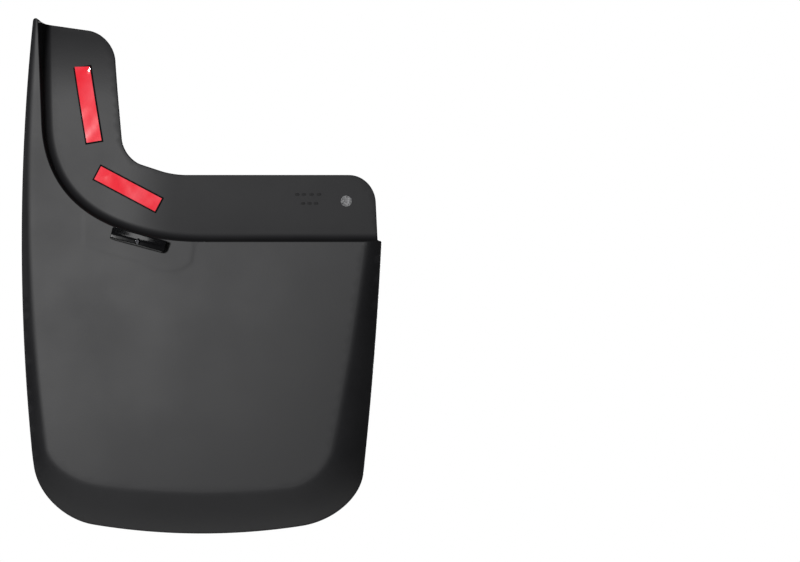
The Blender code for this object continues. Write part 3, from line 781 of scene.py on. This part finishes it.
def buildMarks():
    # plain raised bars in two rows, where a moulding carries its markings
    bm, sides = bmesh.new(), 24
    for height, centres in marks["rows"].items():
        for centre in centres:
            loops = []
            for inset, depth in ((0, marks["sunk"]), (0, 0), (marks["draft"], -marks["proud"])):
                radius, reach = marks["tall"] / 2 - inset, (marks["long"] - marks["tall"]) / 2
                loop = []
                for i in range(sides):
                    t = 2 * math.pi * (i + 0.5) / sides
                    shift = reach if math.cos(t) > 0 else -reach
                    spot = (centre + shift + radius * math.cos(t), depth, height + radius * math.sin(t))
                    loop.append(bm.verts.new(spot))
                loops.append(loop)
            stitch(bm, loops)
            bm.faces.new(loops[0])
            bm.faces.new(loops[-1])
    addPiece(bm, "moulding_marks", etchedTpo, "flap", (), 30)


buildDial()
buildMarks()
print("date dial and marks made")


# The lip clip and its hardware

clip = {
    "long": 0.0465, "tall": 0.0106, "sheet": 0.0012, "mouth": 0.0065, "bend": 0.0006,
    "flare": 16, "flareTall": 0.0056, "turn": 15,
    "edge": 0.00018,  # softening of the sheet's cut edges
    "bow": 0.0004,  # how far the front leg bulges at its middle
    "cornerRight": 0.0042, "cornerLeft": 0.0016, "cornerTop": 0.0014,
    "bore": 0.0018,  # radius of every hole, for the screw and the rivets
    "collarWall": 0.0010, "collarLong": 0.0010, "collarEdge": 0.0004,
}
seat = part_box("lip_clip")[1].y
clipTurn = Matrix.Rotation(math.radians(clip["turn"]), 4, "Y")
clipPlace = Matrix.Translation((clipCentre[0], seat, clipCentre[2])) @ clipTurn
screwCentre = [(a + b) / 2 for a, b in zip(*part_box("set_screw"))]
screwSpot = clipPlace.inverted() @ Vector((screwCentre[0], seat, screwCentre[2]))
clipDeep = clip["mouth"] + 2 * clip["sheet"]


def quarter(centre, radius, first, last, steps=6):
    turns = [math.radians(first + (last - first) * i / steps) for i in range(steps + 1)]
    return [(centre[0] + radius * math.cos(t), centre[1] + radius * math.sin(t)) for t in turns]


def clipSection():
    # (depth, height) outline of the folded sheet
    half, deep, outer = clip["tall"] / 2, clipDeep, clip["bend"] + clip["sheet"]
    crease, soft = half - clip["flareTall"], clip["edge"]
    lean = math.tan(math.radians(clip["flare"]))
    tip, shift = deep + clip["flareTall"] * lean, clip["sheet"] * math.tan(math.radians(clip["flare"] / 2))
    backBend, frontBend = (-outer, outer - half), (outer - deep, outer - half)
    # heights at which a leg is drawn: down from its top to the crease, and up from its bend to the crease
    rise = [half - soft] + [half - 0.0012 * i for i in range(1, 5)]
    upright = [-0.0032 + 0.0006 * i for i in range(5)]
    section = [(-soft, half), (-0.3 * soft, half - 0.3 * soft)] + [(0, z) for z in rise]
    section += quarter(backBend, outer, 0, -90) + quarter(frontBend, outer, -90, -180)
    section += [(-deep, z) for z in upright] + [(-deep - (z - crease) * lean, z) for z in reversed(rise)]
    section += [(0.3 * soft - tip, half - 0.3 * soft), (soft - tip, half)]
    section += [(clip["sheet"] - soft - tip, half), (clip["sheet"] - 0.3 * soft - tip, half - 0.3 * soft)]
    section += [(clip["sheet"] - deep - (z - crease) * lean, z) for z in rise]
    section += [(clip["sheet"] - deep, z) for z in [crease - shift] + upright[3::-1]]
    section += quarter(frontBend, clip["bend"], -180, -90) + quarter(backBend, clip["bend"], -90, 0)
    section += [(-clip["sheet"], z) for z in reversed(rise)]
    section += [(0.3 * soft - clip["sheet"], half - 0.3 * soft), (soft - clip["sheet"], half)]
    return section


def cornerTrim(z, bottom, top):
    # how far an end has come in at this height
    low, high = z + clip["tall"] / 2, clip["tall"] / 2 - z
    trim = 0.0
    if low < bottom:
        trim = bottom - math.sqrt(max(0.0, bottom**2 - (bottom - low) ** 2))
    if high < top:
        trim = max(trim, top - math.sqrt(max(0.0, top**2 - (top - high) ** 2)))
    return trim


def buildClip():
    section, stations = clipSection(), 48
    inner = shiftLoop(section, -clip["edge"])
    shares = [2 * n / stations - 1 for n in range(1, stations)]
    near = 1 - 2 * clip["edge"] / clip["long"]
    bm = bmesh.new()
    loops = []
    for share in [-1, -near, *shares, near, 1]:
        loop = []
        for depth, z in inner if abs(share) == 1 else section:
            left = -clip["long"] / 2 + cornerTrim(z, clip["cornerLeft"], clip["cornerTop"])
            right = clip["long"] / 2 - cornerTrim(z, clip["cornerRight"], clip["cornerTop"])
            x = (left + right) / 2 + share * (right - left) / 2
            forward = min(1.0, max(0.0, -depth / clipDeep))  # the back leg stays flat
            bulge = clip["bow"] * (0.5 - (2 * x / clip["long"]) ** 2) * forward
            loop.append(bm.verts.new((x, depth - bulge, z)))
        loops.append(loop)
    stitch(bm, loops)
    bm.faces.new(loops[0])
    bm.faces.new(list(reversed(loops[-1])))
    piece = addPiece(bm, "folded_clip", dippedBlackSteel, "flap", ["lip_clip"], 40, clipPlace)
    leg, radius = clip["sheet"] - clipDeep, clip["bore"]
    root, outer = leg - 0.0008, radius + clip["collarWall"]
    lip, end = outer - clip["collarEdge"], leg + clip["collarLong"]
    collar = [(0, root), (outer, root), (outer, leg + 0.0001), (lip, leg + clip["collarEdge"])]
    collar += [(lip, end), (0, end)]

    def placed(profile, spot, sides):
        def make(bm):
            lathe(bm, profile, sides)
            bmesh.ops.transform(bm, matrix=clipPlace @ Matrix.Translation(spot), verts=bm.verts)
        return make

    carve(piece, placed(collar, (screwSpot.x, 0, screwSpot.z), 32), "UNION")

    def hole(first, last):
        return [(0, first), (radius, first), (radius, last), (0, last)]

    carve(piece, placed(hole(-0.020, leg + 0.002), (screwSpot.x, 0, screwSpot.z), 32))
    for spot in rivetSpots:
        local = clipPlace.inverted() @ Vector((spot[0], seat, spot[2]))
        carve(piece, placed(hole(-0.002, 0.002), (local.x, 0, local.z), 24))
    piece.data.set_sharp_from_angle(angle=math.radians(40))


buildClip()
print("clip made")


rivet = {
    "shank": 0.0015, "headTall": 0.0009, "tailTall": 0.0014,
    # (radius, depth) points: the head from its front, with the pit of the pulled mandrel, then the tail
    "head": [(0, 0.00055), (0.0007, 0.00055), (0.0007, 0.0001), (0.0009, 0), (0.0016, 0.00006),
             (0.0022, 0.00024), (0.0026, 0.00050), (0.0028, 0.00075), (0.0028, 0.0009)],
    "tail": [(0.0023, 0), (0.00248, 0.0003), (0.0024, 0.0007), (0.0019, 0.0011), (0.0012, 0.0014),
             (0.0005, 0.0013), (0, 0.0012)],
}
washer = {"bore": 0.0018, "outer": 0.0030, "innerEdge": 0.0001, "outerEdge": 0.0002}


def buildRivet(side, spot):
    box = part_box("clip_rivet_" + side)
    front, root = box[0].y, box[1].y - rivet["tailTall"]
    profile = [(radius, front + depth) for radius, depth in rivet["head"]]
    profile += [(rivet["shank"], front + rivet["headTall"]), (rivet["shank"], root)]
    profile += [(radius, root + depth) for radius, depth in rivet["tail"]]
    bm = bmesh.new()
    lathe(bm, profile, 48, (spot[0], spot[2]))
    node = "clip_rivet_" + side
    addPiece(bm, "blind_rivet_" + side, drawnAluminium, "flap", [node], 35)


def buildWasher(side, spot):
    low, high = (corner.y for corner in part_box("clip_washer_" + side))
    bore, outer, chamfer, edge = (washer[k] for k in ("bore", "outer", "innerEdge", "outerEdge"))
    ring = [(bore, low + chamfer), (bore + chamfer, low), (outer - edge, low), (outer, low + edge)]
    ring += [(outer, high - edge), (outer - edge, high), (bore + chamfer, high), (bore, high - chamfer)]
    ring += [ring[0]]
    bm = bmesh.new()
    lathe(bm, ring, 48, (spot[0], spot[2]))
    bmesh.ops.remove_doubles(bm, verts=bm.verts, dist=1e-7)
    node = "clip_washer_" + side
    addPiece(bm, "plain_washer_" + side, zincPlatedSteel, "flap", [node], 35)


for side, spot in zip(("left", "right"), rivetSpots):
    buildRivet(side, spot)
    buildWasher(side, spot)
print("rivets and washers made")

screw = {
    "radius": 0.0015, "pitch": 0.0005, "threadDepth": 0.0003, "taper": 0.0004,
    "flank": 0.8,  # share of the pitch that the groove takes
    "socket": 0.0015,  # across flats
    "socketDepth": 0.0016,
    "neckRadius": 0.0009, "neckLong": 0.0008, "neckEdge": 0.0001,
}


def buildScrew():
    low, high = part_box("set_screw")
    shoulder = high.y - screw["neckLong"]
    sides, perPitch = 36, 8
    rows = round((shoulder - low.y) / screw["pitch"] * perPitch)
    bm = bmesh.new()
    rings = []
    for n in range(rows + 1):
        depth = low.y + (shoulder - low.y) * n / rows
        taper = min(1.0, (depth - low.y) / screw["taper"], (shoulder - depth) / screw["taper"])
        ring = []
        for i in range(sides):
            t = 2 * math.pi * i / sides
            phase = (depth / screw["pitch"] - t / (2 * math.pi)) % 1
            groove = max(0.0, 1 - abs(2 * phase - 1) / screw["flank"])
            radius = screw["radius"] - screw["threadDepth"] * max(groove, 1 - taper)
            ring.append(bm.verts.new((radius * math.cos(t), depth, radius * math.sin(t))))
        rings.append(ring)
    neck, soft = screw["neckRadius"], screw["neckEdge"]
    for radius, depth in ((neck, shoulder), (neck, high.y - soft), (neck - soft, high.y)):
        rings.append(roundRing(bm, radius, depth, sides))
    stitch(bm, rings)
    bm.faces.new(rings[0])
    bm.faces.new(list(reversed(rings[-1])))
    place = Matrix.Translation((screwCentre[0], 0, screwCentre[2]))
    piece = addPiece(bm, "cup_set_screw", blackOxideSteel, "screw", ["set_screw"], 35, place)

    def socket(bm):
        radius = screw["socket"] / math.sqrt(3)
        end = low.y + screw["socketDepth"]
        lathe(bm, [(0, low.y - 0.001), (radius, low.y - 0.001), (radius, end), (0, end + 0.0004)], 6)
        bmesh.ops.transform(bm, matrix=place, verts=bm.verts)

    carve(piece, socket)
    piece.data.set_sharp_from_angle(angle=math.radians(35))


pad = {
    "recess": 0.0008, "gap": 0.0003,  # the recess that the screw's neck turns in
    "backEdge": 0.0002, "frontEdge": 0.0003,
    # the face has ridges, which bite into the lip, and grooves that start at these shares of the radius
    "grooves": (0.78, 0.56, 0.34), "grooveWide": 0.10, "grooveDeep": 0.00012,
}


def buildPad():
    low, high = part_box("pressure_pad")
    radius, recess = (high.x - low.x) / 2, screw["neckRadius"] + pad["gap"]
    back, front = pad["backEdge"], pad["frontEdge"]
    profile = [(0, low.y + pad["recess"]), (recess, low.y + pad["recess"]), (recess, low.y)]
    profile += [(radius - back, low.y), (radius, low.y + back)]
    profile += [(radius, high.y - front), (radius - front, high.y)]
    for share in pad["grooves"]:
        middle, inner = share - pad["grooveWide"] / 2, share - pad["grooveWide"]
        profile += [(radius * share, high.y), (radius * middle, high.y - pad["grooveDeep"])]
        profile += [(radius * inner, high.y)]
    profile += [(0, high.y)]
    bm = bmesh.new()
    lathe(bm, profile, 48, (screwCentre[0], screwCentre[2]))
    addPiece(bm, "swivel_pad", zincPlatedSteel, "pad", ["pressure_pad"], 30)


buildScrew()
buildPad()
print("screw and pad made")


# Floor, light and camera

studio = {
    "camera": (0.126, -2.2, -0.0613), "viewWide": 0.672, "panelDepth": -0.012,
    "key": {"at": (-0.645, -2.0, 0.19), "aim": (-0.05, 0, -0.05), "size": (0.25, 0.25), "power": 39.5},
    # a small light whose reflection lies along the clip's flare
    "clipGlint": {"at": (-0.254, -0.60, -0.360), "aim": (-0.093, -0.025, -0.022),
                  "size": (0.048, 0.12), "power": 0.042},
    "back": {"at": (0.30, 2.0, -0.16), "aim": (-0.04, 0, -0.06), "size": (0.6, 0.6), "power": 40},
    "ambient": 0.03, "floor": -1.1, "floorHalf": 1.4,
}


def addLight(name, light):
    data = bpy.data.lights.new(name, "AREA")
    data.shape, data.size, data.size_y, data.energy = "RECTANGLE", *light["size"], light["power"]
    lamp = bpy.data.objects.new(name, data)
    lamp.location = light["at"]
    lamp.rotation_euler = (Vector(light["aim"]) - Vector(light["at"])).to_track_quat("-Z", "Y").to_euler()
    bpy.context.scene.collection.objects.link(lamp)


addLight("key_softbox", studio["key"])
addLight("clip_glint", studio["clipGlint"])
addLight("back_softbox", studio["back"])

world = bpy.data.worlds.new("white studio")
bpy.context.scene.world = world
world.use_nodes = True
sky = world.node_tree
sky.nodes.clear()
seen = addNode(sky, "ShaderNodeLightPath").outputs["Is Camera Ray"]
strength = spread(sky, seen, studio["ambient"], 1.0)
air = addNode(sky, "ShaderNodeBackground", {"Color": (1, 1, 1, 1)}, {"Strength": strength})
addNode(sky, "ShaderNodeOutputWorld", None, {"Surface": air.outputs[0]})

bm = bmesh.new()
bmesh.ops.create_grid(bm, x_segments=1, y_segments=1, size=studio["floorHalf"])
floorMesh = bpy.data.meshes.new("floor")
bm.to_mesh(floorMesh)
bm.free()
floor = bpy.data.objects.new("floor", floorMesh)
floor.location.z = studio["floor"]
paper = startMaterial("mattPaper", {"Base Color": toLinear("#ededec"), "Roughness": 0.9})[0]
floorMesh.materials.append(paper)
bpy.context.scene.collection.objects.link(floor)

lens = bpy.data.cameras.new("camera")
camera = bpy.data.objects.new("camera", lens)
camera.location = studio["camera"]
camera.rotation_euler = (math.radians(90), 0, 0)
distance = studio["panelDepth"] - studio["camera"][1]
lens.lens = lens.sensor_width * distance / studio["viewWide"]
bpy.context.scene.collection.objects.link(camera)
bpy.context.scene.camera = camera
bpy.context.scene.view_settings.view_transform = "Standard"

print("studio made")
